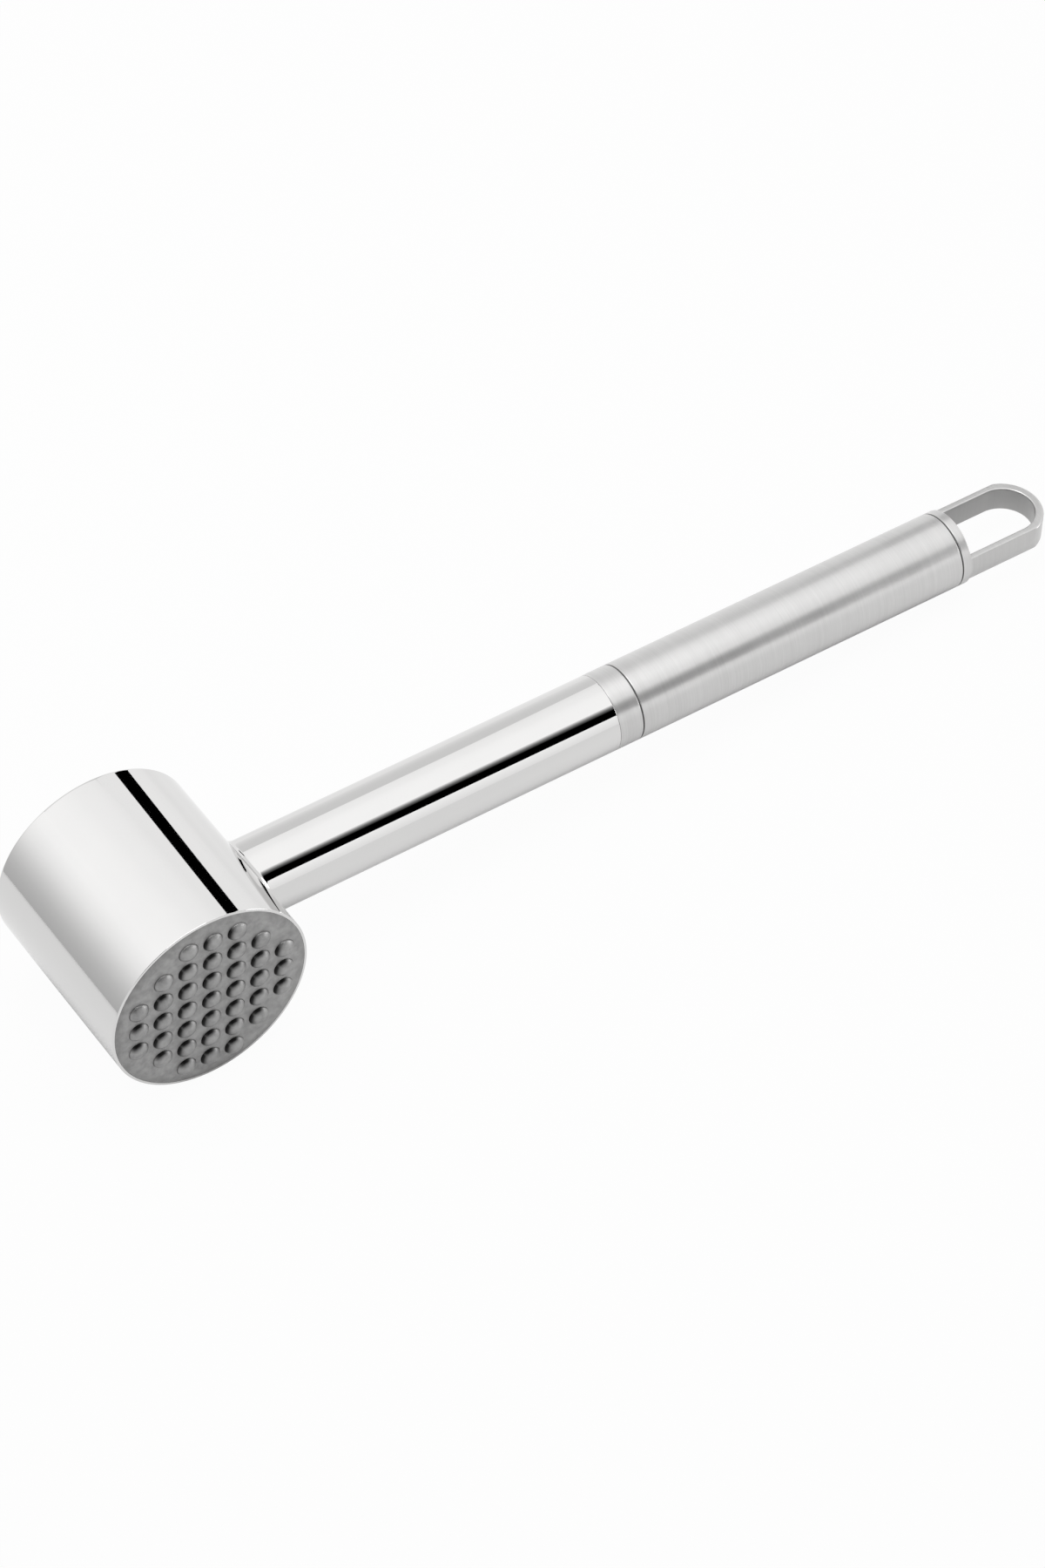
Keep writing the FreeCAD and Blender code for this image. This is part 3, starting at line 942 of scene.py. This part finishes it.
def band_section(inner, outer_at):
    """Rounded section of the band; inner is the slot's wall, outer_at(z) the outside."""
    way = (outer_at(0.0) - inner).normalized()
    width = {z: (outer_at(z) - inner).length for z in (0.0, low_z, high_z, loop_half)}
    guard, wide = loop_round + loop_support, width[loop_half]
    under = [(0, -loop_half, loop_round), (guard, -loop_half, 0), (wide - guard, -loop_half, 0),
             (wide, -loop_half, loop_round), (width[high_z], -high_z, 0),
             (width[low_z], -low_z, 0)]
    over = [(s, -z, rounding) for s, z, rounding in reversed(under)]
    points = outline([*under, (width[0.0], 0, 0), *over, (0, high_z, 0), (0, -high_z, 0)],
                     support=9)
    return [Vector((inner.x + way.x * s, inner.y + way.y * s, z)) for s, z in points]


def leg_section(x, sign):
    """The band's section across one of its straight legs."""
    return band_section(Vector((x, sign * slot_r)),
                        lambda z: Vector((x, sign * sqrt(handle_r ** 2 - z ** 2))))


def tip_section(angle):
    """The band's section at one direction round the tip."""
    c, s = cos(angle), sin(angle)
    return band_section(
        Vector((slot_centre + slot_r * c, slot_r * s)),
        lambda z: Vector((tip_centre + reach_at(angle, z) * c, reach_at(angle, z) * s)))


def shrunk(section):
    """The section drawn in towards its middle and sunk 1 mm into the disc."""
    middle = sum(section, Vector()) / len(section)
    return [middle + (p - middle) * 0.6 + Vector((-1.0, 0, 0)) for p in section]


leg_steps = [loop_root + (tip_centre - loop_root) * t for t in (0, 0.02, 0.2, 0.4, 0.6, 0.8, 0.95)]
near_leg = [leg_section(x, -1) for x in leg_steps]
tip_arc = [tip_section(radians(-90 + 180 * k / 64)) for k in range(65)]
far_leg = [leg_section(x, 1) for x in reversed(leg_steps)]
band = skin([shrunk(near_leg[0]), *near_leg, *tip_arc, *far_leg, shrunk(far_leg[-1])], caps=True)
thread_end = rod_end + joint_gap
cap_body = turned_mesh(outline([
    (0, thread_end, 0), (thread_r, thread_end, 0), (thread_r, cap_start, 0),
    (spigot_r, cap_start, spigot_round), (spigot_r, disc_face, 0),
    (handle_r, disc_face, disc_round), (handle_r, loop_root, root_round),
    (0, loop_root, 0)], closed=False), satin, closed=0)
open_edges = finish_mesh(band), finish_mesh(cap_body, along_handle)
join_into(cap_body, cap_body, band)
# On the slot's wall the number is painted shade, darker towards the top.
finish_and_shade_mark = cap_body.attributes.new("loop_finish_and_shade", "FLOAT", "POINT")
for vertex, mark in zip(cap_body.vertices, finish_and_shade_mark.data):
    x, y, z = undo @ vertex.co
    if x <= loop_root + 0.02:
        continue
    off_wall = (abs(y) if x < slot_centre else hypot(x - slot_centre, y)) - slot_r
    if off_wall < wall_depth:
        mark.value = wall_finish_and_shade - wall_shade_fade * (loop_half - z)
    else:
        mark.value = flat_finish if abs(z) > flat_z else side_finish
piece("end_cap_skin", cap_body, "end_cap", satin)
print("open edges:", open_edges)

# %% [markdown]
# ## The table and the room
# The camera and the metal both see the table and the room as white, through
# Light Path, while the light that falls on things stays at a plain level. The
# table keeps a share of real shading, so the mallet's shadow stays on it.
#
# Mirrors show the dark table right under the mallet, which the camera doesn't
# see. Ambient occlusion finds how open each spot is, and mirror rays get that as
# the share of white. One side also glows a touch brighter in the mirrors.

# %% Table and room
SHADOW_REACH, MIRROR_SIDE = 0.03, (0.8, 0.6, 0)


def sight(tree):
    """Two Light Path outputs: 1 where a camera ray looks, and 1 where a camera, mirror or
    clear-glass ray looks; else 0.
    """
    path = add(tree, "ShaderNodeLightPath").outputs
    either = maths(tree, "MAXIMUM", path["Is Camera Ray"], path["Is Glossy Ray"])
    return path["Is Camera Ray"], maths(tree, "MAXIMUM", either, path["Is Transmission Ray"])


def bare_material(name):
    """A material with an empty tree."""
    material, tree, _ = blank_material(name)
    tree.nodes.clear()
    return material, tree


def sheet(name, width, height, material):
    """A flat rectangle about the origin, facing up."""
    w, h = width / 2, height / 2
    mesh = bpy.data.meshes.new(name)
    mesh.from_pydata([(-w, -h, 0), (w, -h, 0), (w, h, 0), (-w, h, 0)], [], [(0, 1, 2, 3)])
    mesh.materials.append(material)
    return show(name, mesh)


room = bpy.data.worlds.new("room")
scene.world = room
room.use_nodes = True
tree = room.node_tree
feed(tree.nodes["Background"], {
    "Color": (1, 1, 1, 1), "Strength": remap(tree, sight(tree)[1], (0.0, 1.0), (0.5, 1.0))})

table_material, tree = bare_material("white_table")
spot = object_spot(tree)
by_camera, seen = sight(tree)
open_share = add(tree, "ShaderNodeAmbientOcclusion", {"Distance": SHADOW_REACH},
                 samples=4).outputs["AO"]
mirrored = remap(tree, open_share, (0.38, 0.8), (0.05, 0.93))
near_share = blend(tree, by_camera, mirrored, 0.96, "FLOAT")
brighter = remap(tree, vector_maths(tree, "DOT_PRODUCT", spot, MIRROR_SIDE),
                 (-0.04, 0.08), (1.0, 1.1))
white_level = blend(tree, by_camera, brighter, 1.0, "FLOAT")
glow = remap(tree, vector_maths(tree, "LENGTH", spot), (0.25, 0.9), (near_share, 1.0),
             interpolation_type="SMOOTHSTEP")
paper = add(tree, "ShaderNodeBsdfDiffuse", {"Color": (0.55, 0.55, 0.55, 1)})
white = add(tree, "ShaderNodeEmission", {"Color": (1, 1, 1, 1), "Strength": white_level})
both = add(tree, "ShaderNodeMixShader", {
    0: maths(tree, "MULTIPLY", seen, glow), 1: paper, 2: white})
add(tree, "ShaderNodeOutputMaterial", {"Surface": both})
table = sheet("table", 8, 8, table_material)
table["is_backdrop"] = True
print("table and room are white")

# %% [markdown]
# ## Softbox, windows and dark cards
# Polished metal looks like metal only when it mirrors something darker and
# something brighter than itself. A product studio hangs a large softbox above,
# and holds black cards where a dark line should run along the curve. A top light
# and a window give the highlights, and white walls and a fill stand round the
# edge. The boards are flat, and the camera itself doesn't see them. Their places
# and their steps of brightness are fitted to this one camera, so from behind the
# head mirrors a broad black band.
#
# `power` multiplies a board's brightness, `lean` rolls it in its own plane, and
# `skew` turns the direction of its brightness ramp; both are in degrees.

# %% Lights
BLACK, EVEN = [(0.0, 0.0), (1.0, 0.0)], [(0.0, 1.0), (1.0, 1.0)]


def board(name, centre, facing, size, levels, power=1.0, lean=0, skew=0):
    """A glowing board of a width and height that faces a point; mirrors see it.

    levels are (place, brightness) pairs from its lower edge, 0, to its upper edge, 1.
    """
    width, height = size
    material, tree = bare_material(name)
    rise_way = (sin(radians(skew)), cos(radians(skew)), 0)
    reach = (width * abs(rise_way[0]) + height * rise_way[1]) / 2
    rising = remap(tree, vector_maths(tree, "DOT_PRODUCT", object_spot(tree), rise_way),
                   (-reach, reach))
    ramp = add(tree, "ShaderNodeValToRGB", {"Fac": rising})
    stops = ramp.color_ramp.elements
    while len(stops) < len(levels):
        stops.new(0.5)
    for stop, (at, level) in zip(stops, levels):
        stop.position, stop.color = at, (level / 2, level / 2, level / 2, 1)
    glow = add(tree, "ShaderNodeEmission", {
        "Strength": 2.0 * power, "Color": ramp.outputs["Color"]})
    add(tree, "ShaderNodeOutputMaterial", {"Surface": glow})
    made = sheet(name, width, height, material)
    centre, facing = Vector(centre), Vector(facing)
    front = (facing - centre).normalized()
    level_board = abs(front.z) >= 0.999
    across = Vector((1, 0, 0)) if level_board else Vector((0, 0, 1)).cross(front).normalized()
    stand = Matrix((across, front.cross(across), front)).transposed().to_4x4()
    roll = Matrix.Rotation(radians(lean), 4, "Z")
    made.matrix_world = Matrix.Translation(centre) @ stand @ roll
    made.visible_camera = False
    made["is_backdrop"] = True


board("softbox", (0.0, 0.0, 0.9), (0, 0, 0), (1.8, 1.6),
      [(0.0, 1.15), (0.09, 1.18), (0.18, 1.235), (0.27, 1.265), (0.31, 1.3), (0.35, 1.33),
       (0.42, 1.35)], skew=-37)
board("top_light", (-0.12, 0.05, 0.8), (-0.12, 0.05, 0), (0.62, 0.5), EVEN, power=4.0)
board("dark_card_front", (0.25, -0.5, 0.544), (0.25, 0.0, 0.544), (0.7, 0.60),
      [(0.0, 0.0), (0.4, 0.0), (0.45, 0.05), (0.6, 0.21), (0.79, 0.65), (0.9, 1.08),
       (0.97, 1.33)], lean=13)
board("fill_front", (0.085, -0.62, 0.155), (0.085, 0.0, 0.155), (0.67, 0.31),
      [(0.0, 1.08), (0.5, 1.18), (1.0, 1.3)])
board("dark_card_back", (0.599, 0.588, 0.433), (-0.117, 0.0, 0.045), (0.141, 0.42), BLACK,
      lean=-22)
board("dark_room", (-0.40, -0.635, 0.462), (-0.117, -0.027, 0.026), (0.94, 0.71), BLACK)
board("dark_ceiling", (-0.55, -0.62, 0.8), (-0.55, -0.62, 0), (1.0, 0.85), BLACK)
board("window_right", (1.231, -0.685, 0.26), (-0.117, -0.027, 0.03), (0.64, 0.5), EVEN,
      power=5.5)
board("wall_left", (-0.249, 0.16, 0.13), (0.0, 0.16, 0.13), (0.28, 0.26),
      [(0.0, 0.59), (0.1, 0.65), (0.17, 0.72), (0.26, 0.86), (0.38, 1.07), (0.46, 1.18),
       (0.56, 1.26), (0.69, 1.33), (1.0, 1.36)])
board("wall_right", (1.678, 1.588, 1.1), (-0.117, 0.0, 1.1), (0.97, 2.3),
      [(0.0, 1.12), (0.2, 1.17), (1.0, 1.17)])
board("wall_back", (1.13, 2.12, 1.15), (0.0, 0.0, 1.15), (0.76, 2.3),
      [(0.0, 1.03), (0.08, 1.0), (0.25, 0.93), (0.38, 0.89), (0.52, 0.87), (1.0, 0.86)])
print("boards hung")

# %% [markdown]
# ## Sizes
# The dressed mallet has to stay the size of the CAD part, so the script prints
# how far its box has grown past the CAD box.

# %% Finish
new_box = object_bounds()
corners = zip([*cad_box[0], *cad_box[1]], [*new_box[0], *new_box[1]])
print("grown by, mm:", [round((b - a) / MM, 3) for a, b in corners])
